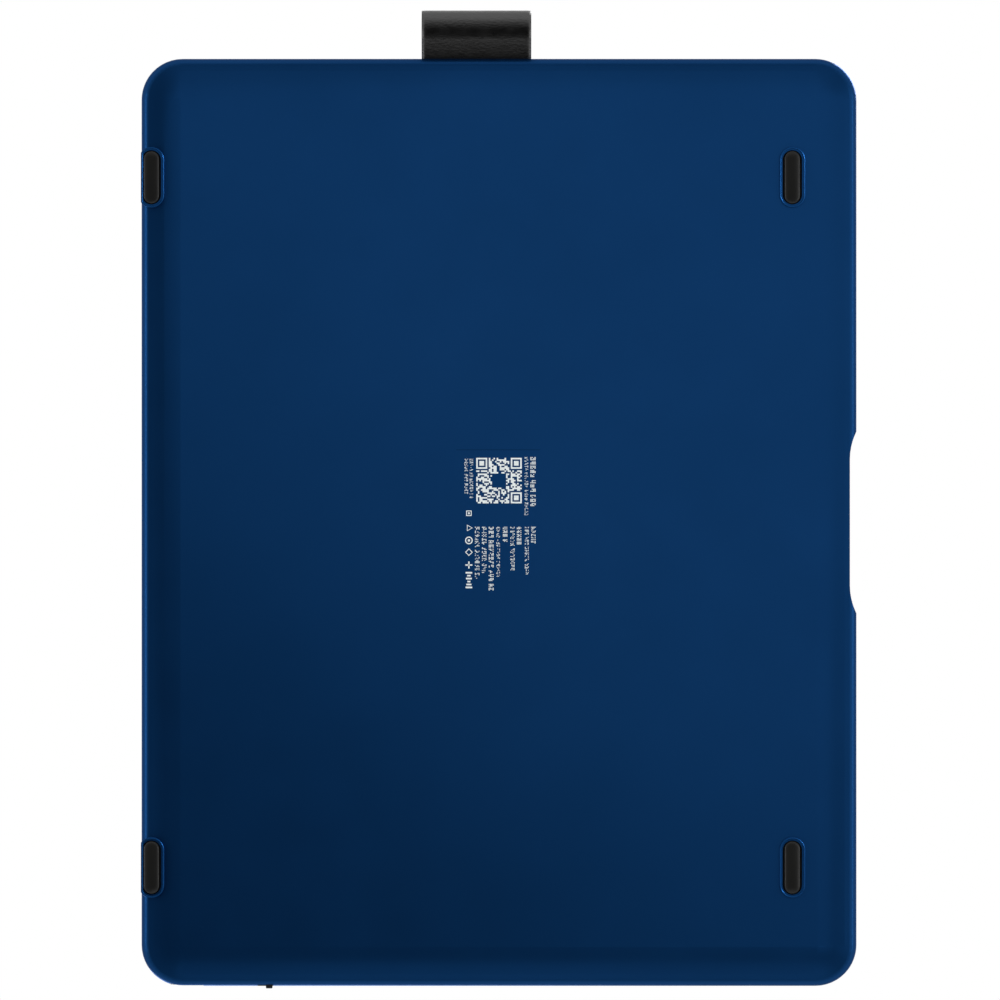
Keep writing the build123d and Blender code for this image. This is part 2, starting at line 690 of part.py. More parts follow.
def touchpad_switch():
    """The click dome, drawn pressed flat, on its little plate."""
    low = BRACKET_Z + BRACKET
    top = low + DOME_PLATE_THICK
    plate = block(about(0, DOME_PLATE / 2), about(PAD_Y + DOME_Y, DOME_PLATE / 2), (low, top))
    return plate + upright_rod(DOME_R, (top, top + DOME_PRESSED), 0, PAD_Y + DOME_Y)


# ---- hinge ----

def hinge_post(side):
    """A knuckle on the deck that holds one end of the lid's barrel; its bore is blind."""
    x_range = on_side(side, POST_START, POST_START + POST_LENGTH)
    post = cross_rod(BARREL_R, x_range)
    post += block(x_range, about(HINGE_Y, BARREL_R), (DECK_Z, HINGE_Z))
    post -= cross_rod(PIN_R, on_side(side, POST_START - PAST, POST_START + POST_LENGTH - POST_CAP))
    screw_z = (DECK_Z - PAST, HINGE_SCREW_TIP_Z)
    return post - [upright_rod(SCREW_R, screw_z, x, y) for x, y in hinge_screw_places()]


def hinge_pin(side):
    return cross_rod(PIN_R, on_side(side, PIN_START, POST_START + POST_LENGTH - POST_CAP))


def lid_screws():
    """Screws through the lid's rear wall into the barrel's web, along +Y."""
    screws = []
    head_y = LID_REAR_Y - LID_WALL
    shaft_y = head_y + LID_SCREW_HEAD
    lying = Rot(90, 0, 0)
    for x in LID_SCREW_X:
        head_place = Pos(x, head_y + LID_SCREW_HEAD / 2, LID_SCREW_Z) * lying
        shaft_place = Pos(x, shaft_y + LID_SCREW_SHAFT / 2, LID_SCREW_Z) * lying
        head = head_place * Cylinder(LID_SCREW_HEAD_R, LID_SCREW_HEAD)
        screws.append(head + shaft_place * Cylinder(SCREW_R, LID_SCREW_SHAFT))
    return screws


def hinge_barrel():
    """The lid's rear bar: a round bar with a web to the lid and a blind bore in each end."""
    barrel = cross_rod(BARREL_R, about(0, BARREL_HALF))
    barrel += block(about(0, WEB_HALF), (LID_REAR_Y, HINGE_Y), about(HINGE_Z, WEB_HALF_Z))
    for side in (-1, 1):
        barrel -= cross_rod(SLEEVE_R, on_side(side, PIN_START - PIN_END_GAP, BARREL_HALF + PAST))
    return barrel - lid_screws()


def friction_sleeves():
    """A tight sleeve round each pin, fixed in the barrel's bore."""
    sleeves = []
    for side in (-1, 1):
        sleeve = cross_rod(SLEEVE_R, on_side(side, BARREL_HALF - SLEEVE_LENGTH, BARREL_HALF))
        bore = on_side(side, BARREL_HALF - SLEEVE_LENGTH - PAST, BARREL_HALF + PAST)
        sleeves.append(sleeve - cross_rod(PIN_R + RUNNING, bore))
    return sleeves


# ---- lid ----

def lid_blank(z_range, inset=0.0):
    length = LID_LENGTH - 2 * inset
    depth = LID_DEPTH - 2 * inset
    return rounded_block(length, depth, LID_CORNER_R - inset, z_range, 0, LID_Y)


def camera_block(z_range, grow=0.0):
    """The camera window's shape, wider all round by grow."""
    size = CAMERA_SIZE + 2 * grow
    return rounded_block(size, size, CAMERA_R + grow, z_range, CAMERA_X, CAMERA_Y)


def lid_shell():
    """The hard back of the tablet cradle."""
    shell = lid_blank((LID_SPLIT_Z, LID_TOP_Z))
    shell = fillet(top_edges(shell), LID_EDGE_R)
    shell -= lid_blank((LID_SPLIT_Z - PAST, LID_PLATE_Z), LID_WALL)
    return shell - camera_block((LID_SPLIT_Z, LID_TOP_Z + PAST))


def pusher_block(x, y, length, outward, grow, proud):
    """A block through the rim's wall: grow widens it, proud is how far it stands out."""
    half_length = length / 2 + grow
    z_range = about(BUTTON_Z, PUSHER_HEIGHT / 2 + grow)
    if outward[0]:
        return block((x - proud, x + LID_WALL), about(y, half_length), z_range)
    return block(about(x, half_length), (y - proud, y + LID_WALL), z_range)


def pusher(x, y, length, outward):
    shape = pusher_block(x, y, length, outward, 0, PUSHER_PROUD)
    axis = Axis.X if outward[0] else Axis.Y
    return fillet(shape.faces().sort_by(axis)[0].edges(), PUSHER_R)


def lid_rim():
    """The flexible bumper round the tablet, with a lip over the edge of the screen."""
    rim = lid_blank((LID_LOW_Z, LID_SPLIT_Z))
    rim = fillet(bottom_edges(rim), RIM_EDGE_R)
    rim -= lid_blank((LID_LOW_Z + LIP, LID_SPLIT_Z + PAST), LID_WALL)
    rim -= lid_blank((LID_LOW_Z - PAST, LID_LOW_Z + LIP + PAST), LID_WALL + LIP_OVERHANG)
    for x, y, length, outward in PUSHERS.values():
        rim -= pusher_block(x, y, length, outward, CLEARANCE, PAST)
    wall = (-LID_LEFT_X - LID_WALL - PAST, -LID_LEFT_X + PAST)
    slot_z = about(BUTTON_Z, SOUND_SLOT_HALF_Z)
    for side in (-1, 1):
        for y in SOUND_SLOT_Y:
            rim -= block(on_side(side, *wall), about(y, SOUND_SLOT_HALF), slot_z)
    rim -= block(wall, about(LID_Y, PORT_WINDOW_HALF), (PORT_WINDOW_Z, LID_SPLIT_Z + PAST))
    return rim - lid_screws()


def lid_lining():
    lining = lid_blank((LID_PLATE_Z - LINING, LID_PLATE_Z), LID_WALL + LINING_INSET)
    return lining - camera_block((LID_SPLIT_Z, LID_TOP_Z), CLEARANCE)


def camera_ring():
    """A raised guard round the camera window."""
    ring = camera_block((LID_PLATE_Z - LINING, LID_TOP_Z))
    collar = camera_block((LID_TOP_Z, LID_TOP_Z + COLLAR_PROUD), COLLAR_OUT)
    collar = fillet(top_edges(collar), COLLAR_R)
    size = CAMERA_SIZE - 2 * CAMERA_WALL
    opening_z = (LID_SPLIT_Z, LID_TOP_Z + 2 * PAST)
    return ring + collar - rounded_block(size, size, CAMERA_R, opening_z, CAMERA_X, CAMERA_Y)


# ---- every node ----

def all_nodes():
    nodes = {
        "bottom_shell": bottom_shell(),
        "deck_frame": deck_frame(),
        "pen_loop": pen_loop(),
        "loop_rivets": rivets(),
        "base_screws": base_screws(),
        "hinge_screws": hinge_screws(),
        "status_lights": [light_pipe((DECK_UNDER, DECK_Z), x) for x in LIGHT_X],
        "membrane_sheet": key_plate((MEMBRANE_Z, SPLIT_Z)),
        "key_backplate": key_plate((MEMBRANE_Z - BACKPLATE, MEMBRANE_Z)),
        "key_scissors": key_scissors(),
        "main_board": main_board(),
        "battery_cell": battery_cell(),
        "battery_lead": battery_lead(),
        "keyboard_ribbon": keyboard_ribbon(),
        "touchpad_ribbon": touchpad_ribbon(),
        "usb_c_socket": usb_c_socket(),
        "power_switch_body": power_switch_body(),
        "power_switch_knob": power_switch_knob(),
        "base_magnets": base_magnets(),
        "touchpad_plate": touchpad_plate(),
        "touchpad_board": touchpad_board(),
        "touchpad_bracket": touchpad_bracket(),
        "touchpad_switch": touchpad_switch(),
        "hinge_barrel": hinge_barrel(),
        "friction_sleeves": friction_sleeves(),
        "lid_shell": lid_shell(),
        "lid_rim": lid_rim(),
        "lid_lining": lid_lining(),
        "camera_ring": camera_ring(),
        "lid_screws": lid_screws(),
    }
    for name, (x, y) in FEET.items():
        nodes[name] = rubber_foot(x, y)
    for name, side in (("left", -1), ("right", 1)):
        nodes["hinge_post_" + name] = hinge_post(side)
        nodes["hinge_pin_" + name] = hinge_pin(side)
    for name, (x, y, length, outward) in PUSHERS.items():
        nodes[name] = pusher(x, y, length, outward)
    nodes.update(key_nodes())
    return nodes


def placed(shape):
    """One solid, or a list of separate solids that share a node, moved to the object's own origin."""
    solids = shape if isinstance(shape, list) else [shape]
    moved = [Pos(ORIGIN_SHIFT, 0, 0) * solid for solid in solids]
    return moved[0] if len(moved) == 1 else Compound(children=moved)


os.makedirs("parts", exist_ok=True)
for node_name, shape in all_nodes().items():
    export_step(placed(shape), "parts/" + node_name + ".step")
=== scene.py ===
import json
import math
import random

import bmesh
import bpy
from mathutils import Matrix, Vector


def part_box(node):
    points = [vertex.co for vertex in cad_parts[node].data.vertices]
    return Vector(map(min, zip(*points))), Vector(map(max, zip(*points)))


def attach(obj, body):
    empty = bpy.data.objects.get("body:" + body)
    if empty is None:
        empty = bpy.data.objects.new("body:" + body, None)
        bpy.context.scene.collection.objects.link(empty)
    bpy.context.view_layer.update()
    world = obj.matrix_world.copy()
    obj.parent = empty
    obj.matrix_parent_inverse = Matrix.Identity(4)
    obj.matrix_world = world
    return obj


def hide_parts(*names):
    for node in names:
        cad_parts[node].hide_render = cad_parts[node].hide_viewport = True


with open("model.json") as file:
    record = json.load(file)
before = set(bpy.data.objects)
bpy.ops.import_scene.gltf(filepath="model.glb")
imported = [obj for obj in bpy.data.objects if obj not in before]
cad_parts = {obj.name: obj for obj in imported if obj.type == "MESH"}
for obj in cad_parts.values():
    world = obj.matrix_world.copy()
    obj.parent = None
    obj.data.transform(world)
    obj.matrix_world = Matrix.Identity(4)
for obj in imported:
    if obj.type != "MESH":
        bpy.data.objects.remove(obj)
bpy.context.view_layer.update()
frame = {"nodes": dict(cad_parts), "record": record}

# The looks of a keyboard case for an 11-inch tablet, seen from below: navy base and lid, a leather pen loop,
# rubber feet in raised rims, a white rating print, lettered keys and a cloth-lined cradle in the lid.

MM = 0.001
NODES = frame["nodes"]
SHELL_LOW, SHELL_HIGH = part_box("bottom_shell")
BASE_X = (SHELL_LOW.x + SHELL_HIGH.x) / 2
BASE_Y = (SHELL_LOW.y + SHELL_HIGH.y) / 2
FOOT_RIM_PROUD = 0.5 * MM
UNDERSIDE_Z = SHELL_LOW.z + FOOT_RIM_PROUD
scene = bpy.context.scene


# ---------------------------------------------------------------- materials

THIN_INK = 0.88
RAMP_LOW = 0.3
RAMP_HIGH = 0.7


def new_material(name):
    material = bpy.data.materials.new(name)
    material.use_nodes = True
    tree = material.node_tree
    return material, tree, tree.nodes["Principled BSDF"]


def noise(tree, scale, detail=3.0, rough=0.5, stretch=(1, 1, 1)):
    """A noise texture in object space; scale is in features per metre."""
    coordinates = tree.nodes.new("ShaderNodeTexCoord")
    mapping = tree.nodes.new("ShaderNodeMapping")
    mapping.inputs["Scale"].default_value = stretch
    texture = tree.nodes.new("ShaderNodeTexNoise")
    texture.inputs["Scale"].default_value = scale
    texture.inputs["Detail"].default_value = detail
    texture.inputs["Roughness"].default_value = rough
    tree.links.new(coordinates.outputs["Object"], mapping.inputs["Vector"])
    tree.links.new(mapping.outputs["Vector"], texture.inputs["Vector"])
    return texture.outputs["Fac"]


def cells(tree, scale, feature="F1", stretch=(1, 1, 1)):
    """A Voronoi texture in object space."""
    coordinates = tree.nodes.new("ShaderNodeTexCoord")
    mapping = tree.nodes.new("ShaderNodeMapping")
    mapping.inputs["Scale"].default_value = stretch
    texture = tree.nodes.new("ShaderNodeTexVoronoi")
    texture.feature = feature
    texture.inputs["Scale"].default_value = scale
    tree.links.new(coordinates.outputs["Object"], mapping.inputs["Vector"])
    tree.links.new(mapping.outputs["Vector"], texture.inputs["Vector"])
    return texture.outputs["Distance"]


def remap(tree, value, low, high, from_low=RAMP_LOW, from_high=RAMP_HIGH):
    node = tree.nodes.new("ShaderNodeMapRange")
    node.inputs["From Min"].default_value = from_low
    node.inputs["From Max"].default_value = from_high
    node.inputs["To Min"].default_value = low
    node.inputs["To Max"].default_value = high
    tree.links.new(value, node.inputs["Value"])
    return node.outputs["Result"]


def two_colours(tree, value, first, second):
    """A colour between two, as the value goes from RAMP_LOW to RAMP_HIGH."""
    ramp = tree.nodes.new("ShaderNodeValToRGB")
    ramp.color_ramp.elements[0].position = RAMP_LOW
    ramp.color_ramp.elements[1].position = RAMP_HIGH
    ramp.color_ramp.elements[0].color = (*first, 1)
    ramp.color_ramp.elements[1].color = (*second, 1)
    tree.links.new(value, ramp.inputs["Fac"])
    return ramp.outputs["Color"]


def add_bump(tree, shader, height, strength, distance, normal=None):
    bump = tree.nodes.new("ShaderNodeBump")
    bump.inputs["Strength"].default_value = strength
    bump.inputs["Distance"].default_value = distance
    tree.links.new(height, bump.inputs["Height"])
    if normal is not None:
        tree.links.new(normal, bump.inputs["Normal"])
    tree.links.new(bump.outputs["Normal"], shader.inputs["Normal"])
    return bump.outputs["Normal"]


def moulded(name, dark, light, rough, grain, depth, metallic=0.0, specular=0.5, tint=(1, 1, 1)):
    """Moulded plastic or rubber: faint clouding, a fine spark-eroded grain and handled patches."""
    material, tree, shader = new_material(name)
    shader.inputs["Metallic"].default_value = metallic
    shader.inputs["Specular IOR Level"].default_value = specular
    shader.inputs["Specular Tint"].default_value = (*tint, 1)
    clouds = noise(tree, 22.0, detail=4.0)
    tree.links.new(two_colours(tree, clouds, dark, light), shader.inputs["Base Color"])
    handled = noise(tree, 60.0, detail=5.0, rough=0.6)
    tree.links.new(remap(tree, handled, rough[0], rough[1]), shader.inputs["Roughness"])
    add_bump(tree, shader, noise(tree, grain, detail=2.0), strength=0.35, distance=depth * MM)
    return material


def leather(name):
    """Coated leather: pebbled cells, fine creases across the bend, a dull sheen."""
    material, tree, shader = new_material(name)
    shader.inputs["Specular IOR Level"].default_value = 0.8
    shader.inputs["Sheen Weight"].default_value = 0.15
    shader.inputs["Sheen Roughness"].default_value = 0.3
    pebbles = cells(tree, 1700.0, stretch=(1, 0.55, 1))
    tone = noise(tree, 120.0, detail=4.0)
    colour = two_colours(tree, tone, (0.0028, 0.0028, 0.0030), (0.0055, 0.0054, 0.0055))
    tree.links.new(colour, shader.inputs["Base Color"])
    tree.links.new(remap(tree, noise(tree, 420.0), 0.27, 0.37), shader.inputs["Roughness"])
    creases = noise(tree, 260.0, detail=6.0, rough=0.65, stretch=(4.0, 0.35, 4.0))
    pebbled = add_bump(tree, shader, pebbles, strength=0.5, distance=0.08 * MM)
    add_bump(tree, shader, creases, strength=0.4, distance=0.08 * MM, normal=pebbled)
    return material


def brushed(name, dark, light, rough, along=(1, 30, 30), metallic=1.0):
    """Metal with fine drawn lines along X."""
    material, tree, shader = new_material(name)
    shader.inputs["Metallic"].default_value = metallic
    lines = noise(tree, 220.0, detail=5.0, rough=0.6, stretch=along)
    tree.links.new(two_colours(tree, lines, dark, light), shader.inputs["Base Color"])
    tree.links.new(remap(tree, lines, rough[0], rough[1]), shader.inputs["Roughness"])
    add_bump(tree, shader, lines, strength=0.15, distance=0.01 * MM)
    return material


def woven(name, dark, light):
    """A short-napped lining: a fine over-and-under weave under soft fibres."""
    material, tree, shader = new_material(name)
    shader.inputs["Sheen Weight"].default_value = 0.5
    shader.inputs["Sheen Roughness"].default_value = 0.5
    coordinates = tree.nodes.new("ShaderNodeTexCoord")
    threads = []
    for direction in ("X", "Y"):
        wave = tree.nodes.new("ShaderNodeTexWave")
        wave.bands_direction = direction
        wave.inputs["Scale"].default_value = 420.0
        wave.inputs["Distortion"].default_value = 0.6
        tree.links.new(coordinates.outputs["Object"], wave.inputs["Vector"])
        threads.append(wave.outputs["Fac"])
    cloth = tree.nodes.new("ShaderNodeMath")
    cloth.operation = "MAXIMUM"
    tree.links.new(threads[0], cloth.inputs[0])
    tree.links.new(threads[1], cloth.inputs[1])
    fibres = noise(tree, 900.0, detail=4.0)
    tree.links.new(two_colours(tree, fibres, dark, light), shader.inputs["Base Color"])
    tree.links.new(remap(tree, noise(tree, 90.0), 0.82, 0.95), shader.inputs["Roughness"])
    add_bump(tree, shader, cloth.outputs["Value"], strength=0.4, distance=0.08 * MM)
    return material


def printed_ink(name, shade):
    """Ink whose cover varies a little."""
    material, tree, shader = new_material(name)
    thin = tuple(THIN_INK * channel for channel in shade)
    cover = noise(tree, 1500.0, detail=2.0)
    tree.links.new(two_colours(tree, cover, thin, shade), shader.inputs["Base Color"])
    tree.links.new(remap(tree, noise(tree, 700.0), 0.45, 0.6), shader.inputs["Roughness"])
    return material


def circuit(name):
    """Green solder mask over copper tracks."""
    material, tree, shader = new_material(name)
    shader.inputs["Coat Weight"].default_value = 0.3
    tracks = cells(tree, 260.0, feature="DISTANCE_TO_EDGE")
    near_track = remap(tree, tracks, 0, 1, from_low=0.02, from_high=0.08)
    colour = two_colours(tree, near_track, (0.03, 0.16, 0.06), (0.008, 0.06, 0.025))
    tree.links.new(colour, shader.inputs["Base Color"])
    tree.links.new(remap(tree, noise(tree, 300.0), 0.3, 0.45), shader.inputs["Roughness"])
    add_bump(tree, shader, tracks, strength=0.3, distance=0.05 * MM)
    return material


NAVY = (0.7, 0.12, (0.50, 0.62, 0.92))
# Moulded plastics and rubbers: dark and light tone, roughness, grain scale and depth in mm, then metallic,
# specular and the tint of the gloss. NAVY holds those last three for the case's own plastic.
MOULDED = {
    "case_plastic": ((0.003, 0.0345, 0.12), (0.0035, 0.0375, 0.13), (0.31, 0.35), 3200.0, 0.008, *NAVY),
    "touch_surface": ((0.003, 0.036, 0.12), (0.0035, 0.039, 0.13), (0.24, 0.28), 5200.0, 0.003, *NAVY),
    # film_edge_shade: a darker navy, painted shade along the edge of the clear label film.
    "film_edge_shade": ((0.0014, 0.023, 0.082), (0.0017, 0.025, 0.088), (0.30, 0.34), 3200.0, 0.004, *NAVY),
    "bumper": ((0.006, 0.0065, 0.007), (0.009, 0.0095, 0.010), (0.50, 0.62), 1800.0, 0.03, 0.0, 0.3),
    "foot_rubber": ((0.010, 0.010, 0.0095), (0.014, 0.014, 0.013), (0.32, 0.40), 2400.0, 0.02, 0.0, 0.34),
    "key_plastic": ((0.005, 0.005, 0.0055), (0.007, 0.007, 0.0075), (0.42, 0.50), 4200.0, 0.01, 0.0, 0.3),
    "hinge_plastic": ((0.006, 0.006, 0.0065), (0.009, 0.009, 0.010), (0.35, 0.45), 2200.0, 0.02, 0.0, 0.35),
    "black_plastic": ((0.006, 0.006, 0.0065), (0.010, 0.010, 0.011), (0.35, 0.50), 2600.0, 0.015, 0.0, 0.3),
    "membrane_film": ((0.55, 0.58, 0.56), (0.66, 0.68, 0.66), (0.20, 0.30), 900.0, 0.01),
    "lead_insulation": ((0.35, 0.012, 0.010), (0.45, 0.02, 0.015), (0.35, 0.45), 900.0, 0.02),
    "light_lens": ((0.60, 0.66, 0.68), (0.70, 0.75, 0.76), (0.20, 0.30), 1500.0, 0.01),
}
# Metals and foils: dark and light tone, roughness, then the stretch of the drawn lines and metallic.
METALS = {
    "steel": ((0.42, 0.42, 0.43), (0.62, 0.62, 0.63), (0.25, 0.40)),
    "plated_socket": ((0.26, 0.26, 0.27), (0.36, 0.36, 0.37), (0.22, 0.34)),
    "bearing_bronze": ((0.35, 0.20, 0.07), (0.50, 0.30, 0.12), (0.35, 0.50)),
    "battery_foil": ((0.55, 0.55, 0.57), (0.70, 0.70, 0.72), (0.28, 0.45), (4, 4, 4)),
    "flat_ribbon": ((0.28, 0.11, 0.015), (0.45, 0.20, 0.03), (0.25, 0.35), (40, 1, 1), 0.2),
}


def make_materials():
    """One material for each slot of the record, and a few for the added pieces."""
    materials = {name: moulded(name, *values) for name, values in MOULDED.items()}
    materials.update({name: brushed(name, *values) for name, values in METALS.items()})
    materials["strap_leather"] = leather("strap_leather")
    materials["lining_fabric"] = woven("lining_fabric", (0.008, 0.009, 0.011), (0.020, 0.021, 0.024))
    materials["circuit_board"] = circuit("circuit_board")
    materials["label_ink"] = printed_ink("label_ink", (0.94, 1.0, 1.0))
    materials["legend_ink"] = printed_ink("legend_ink", (0.72, 0.74, 0.76))
    return materials


# ---------------------------------------------------------------- mesh helpers

def add_box(bm, low, high):
    """A closed box between two corners."""
    low, high = Vector(low), Vector(high)
    size = high - low
    place = Matrix.Translation((low + high) / 2) @ Matrix.Diagonal((*size, 1))
    bmesh.ops.create_cube(bm, size=1.0, matrix=place)


def rounded_outline(low, high, radius, steps=10):
    """Points round a rounded rectangle, anticlockwise, in X and Y."""
    points = []
    for x, y, start in (
        (high[0] - radius, low[1] + radius, -90),
        (high[0] - radius, high[1] - radius, 0),
        (low[0] + radius, high[1] - radius, 90),
        (low[0] + radius, low[1] + radius, 180),
    ):
        for step in range(steps + 1):
            angle = math.radians(start + 90 * step / steps)
            points.append((x + radius * math.cos(angle), y + radius * math.sin(angle)))
    return points


def grown(low, high, by_x, by_y):
    """A rectangle's corners, moved out by so much on each side."""
    return (low[0] - by_x, low[1] - by_y), (high[0] + by_x, high[1] + by_y)


def wall(bm, low_ring, high_ring):
    """Quads between two rings with as many points."""
    for spot in range(len(low_ring)):
        after = (spot + 1) % len(low_ring)
        bm.faces.new((low_ring[spot], low_ring[after], high_ring[after], high_ring[spot]))


def ring_of(bm, outline, z):
    """The outline's points as vertices at one height."""
    return [bm.verts.new((x, y, z)) for x, y in outline]


def skin(bm, rings):
    """Walls between neighbouring rings, and a face at each end."""
    for first, second in zip(rings, rings[1:]):
        wall(bm, first, second)
    bm.faces.new(rings[0])
    bm.faces.new(rings[-1][::-1])


def add_piece(name, bm, material, body, smooth=False):
    """Makes the finished mesh an object that moves with a body of the model."""
    mesh = bpy.data.meshes.new(name)
    bmesh.ops.recalc_face_normals(bm, faces=bm.faces)
    bm.to_mesh(mesh)
    bm.free()
    mesh.polygons.foreach_set("use_smooth", [smooth] * len(mesh.polygons))
    mesh.materials.append(material)
    piece = bpy.data.objects.new(name, mesh)
    scene.collection.objects.link(piece)
    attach(piece, body)
    return piece


# ---------------------------------------------------------------- rating print on the underside

INK_OUT = 0.02 * MM
INK_IN = 0.01 * MM
BOLD = 0.70
PLAIN = 0.50
# The print is laid out in u along +X and v towards the front (-Y), in mm about the middle of the base.
# Rows of small print: middle of the row, height, start and end, and how full its dots are.
PRINT_ROWS = [
    (9.3, 1.5, -17.8, -4.1, BOLD),
    (7.5, 1.0, -17.8, -1.2, PLAIN),
    (-7.5, 1.0, -17.3, -6.1, PLAIN),
    (-8.9, 1.0, -17.3, -7.5, PLAIN),
    (9.4, 1.3, 1.2, 6.6, BOLD),
    (7.6, 1.1, 1.2, 14.9, PLAIN),
    (5.5, 1.3, 1.2, 6.6, BOLD),
    (3.7, 1.2, 1.2, 13.7, PLAIN),
    (1.7, 1.3, 1.2, 5.9, BOLD),
    (-0.2, 1.0, 1.2, 15.4, PLAIN),
    (-2.1, 1.4, 1.2, 18.6, BOLD),
    (-4.0, 1.3, 1.2, 14.3, PLAIN),
    (-5.9, 1.3, 1.2, 15.7, PLAIN),
]
GLYPH_COLUMNS = 3
GLYPH_ROWS = 4
GLYPH_DOT = 0.8
# Shares of a row's height: widths of its letters, the gaps between letters and words, and the least room
# that another word needs.
LETTER_WIDTHS = (0.48, 0.62)
LETTER_GAP = 0.2
WORD_GAP = 0.35
WORD_ROOM = 0.4
WORD_LETTERS = (3, 7)
CODE_U = -17.6
CODE_V = -6.2
CODE_SIZE = 12.4
CODE_MODULES = 29
EYE = 7
CODE_FILL = 0.52
CODE_WINDOW = (10, 18)
ICON_V = -8.2
ICON_R = 1.05
ICON_LINE = 0.3
# Plain marks: a square, a triangle, a ring and a diamond as u, number of sides and first corner in degrees.
ICON_RINGS = ((-2.5, 4, 45), (1.5, 3, 90), (4.9, 24, 0), (8.1, 4, 0))
# Filled blocks as u and half sizes: the middles of the square and the ring, then the two strokes of a plus.
ICON_BLOCKS = ((-2.5, 0.25, 0.25), (4.9, 0.3, 0.3), (11.6, 0.95, 0.18), (11.6, 0.18, 0.95))
BARS_U = 13.7
BAR_STEP = 0.8
BAR_HALF_U = 0.22
BAR_HALVES_V = (0.9, 0.5, 0.8, 0.4, 0.7, 0.9)
PRINT_SEED = 7
FILM_EDGE_U = -19.9
FILM_EDGE_V = (-11.7, 11.2)
FILM_EDGE_WIDTH = 0.22


def ink_box(bm, u_low, u_high, v_low, v_high):
    """One patch of ink on the flat underside."""
    low = (BASE_X + u_low * MM, BASE_Y - v_high * MM, UNDERSIDE_Z - INK_OUT)
    high = (BASE_X + u_high * MM, BASE_Y - v_low * MM, UNDERSIDE_Z + INK_IN)
    add_box(bm, low, high)


def mock_letter(bm, rng, u, v, width, height, fill):
    """A random cluster of dots in place of a letter: it spells nothing."""
    step_u = width / GLYPH_COLUMNS
    step_v = height / GLYPH_ROWS
    for column in range(GLYPH_COLUMNS):
        for row in range(GLYPH_ROWS):
            if rng.random() < fill:
                u_low = u + column * step_u
                v_low = v - height / 2 + row * step_v
                ink_box(bm, u_low, u_low + GLYPH_DOT * step_u, v_low, v_low + GLYPH_DOT * step_v)


def mock_row(bm, rng, v, height, start, end, fill):
    """A row of mock letters in words."""
    u = start
    while u < end - WORD_ROOM * height:
        for _ in range(rng.randint(*WORD_LETTERS)):
            width = rng.uniform(*LETTER_WIDTHS) * height
            if u + width > end:
                return
            mock_letter(bm, rng, u, v, width, height, fill)
            u += width + LETTER_GAP * height
        u += WORD_GAP * height


def in_corner_eye(column, row):
    """Whether a module is in one of the three corner eyes or the clear line round it."""
    far = CODE_MODULES - EYE - 1
    left, right = column <= EYE, column >= far
    near_end, far_end = row <= EYE, row >= far
    return (left and near_end) or (left and far_end) or (right and far_end)


def module_filled(rng, column, row):
    """Random modules round a clear middle: the square encodes nothing."""
    draw = rng.random() < CODE_FILL
    low, high = CODE_WINDOW
    in_window = low <= column <= high and low <= row <= high
    return draw and not in_window and not in_corner_eye(column, row)


def corner_eye(bm, u, v, cell):
    """A square ring with a filled middle."""
    side = EYE * cell
    ink_box(bm, u, u + side, v, v + cell)
    ink_box(bm, u, u + side, v + side - cell, v + side)
    ink_box(bm, u, u + cell, v + cell, v + side - cell)
    ink_box(bm, u + side - cell, u + side, v + cell, v + side - cell)
    ink_box(bm, u + 2 * cell, u + side - 2 * cell, v + 2 * cell, v + side - 2 * cell)


def code_block(bm, rng):
    """A square of random modules, joined into runs along u, with an eye in three corners."""
    cell = CODE_SIZE / CODE_MODULES
    for row in range(CODE_MODULES):
        filled = [column for column in range(CODE_MODULES) if module_filled(rng, column, row)]
        v = CODE_V + row * cell
        for column in filled:
            if column - 1 not in filled:
                end = column + 1
                while end in filled:
                    end += 1
                ink_box(bm, CODE_U + column * cell, CODE_U + end * cell, v, v + cell)
    far = CODE_SIZE - EYE * cell
    for u, v in ((0, 0), (0, far), (far, far)):
        corner_eye(bm, CODE_U + u, CODE_V + v, cell)


def ring_icon(bm, u, sides, start):
    """A regular outline with so many sides, as closed wedges of ink."""
    for side in range(sides):
        angles = [math.radians(start + 360 * (side + part) / sides) for part in (0, 1)]
        inner = ICON_R - ICON_LINE
        reaches = ((ICON_R, angles[0]), (ICON_R, angles[1]), (inner, angles[1]), (inner, angles[0]))
        layers = []
        for z in (UNDERSIDE_Z - INK_OUT, UNDERSIDE_Z + INK_IN):
            layer = []
            for reach, angle in reaches:
                x = BASE_X + (u + reach * math.cos(angle)) * MM
                y = BASE_Y - (ICON_V + reach * math.sin(angle)) * MM
                layer.append(bm.verts.new((x, y, z)))
            layers.append(layer)
        low, high = layers
        bm.faces.new(low)
        bm.faces.new(high[::-1])
        for corner in range(4):
            after = (corner + 1) % 4
            bm.faces.new((low[corner], low[after], high[after], high[corner]))


def icon_block(bm, u, half_u, half_v):
    ink_box(bm, u - half_u, u + half_u, ICON_V - half_v, ICON_V + half_v)


def icon_row(bm):
    """Plain generic marks: a square, a triangle, a ring, a diamond, a plus and bars."""
    for ring in ICON_RINGS:
        ring_icon(bm, *ring)
    for block in ICON_BLOCKS:
        icon_block(bm, *block)
    for number, half_v in enumerate(BAR_HALVES_V):
        icon_block(bm, BARS_U + BAR_STEP * number, BAR_HALF_U, half_v)


def make_label(materials):
    """The white rating print, and a darker navy line painted as shade along the edge of its clear film."""
    rng = random.Random(PRINT_SEED)
    bm = bmesh.new()
    for row in PRINT_ROWS:
        mock_row(bm, rng, *row)
    code_block(bm, rng)
    icon_row(bm)
    add_piece("rating_print", bm, materials["label_ink"], "base")
    bm = bmesh.new()
    # A thin darker navy strip: painted shade along the clear film's edge.
    ink_box(bm, FILM_EDGE_U, FILM_EDGE_U + FILM_EDGE_WIDTH, *FILM_EDGE_V)
    add_piece("label_film_edge_shade", bm, materials["film_edge_shade"], "base")


# ---------------------------------------------------------------- pen loop strap

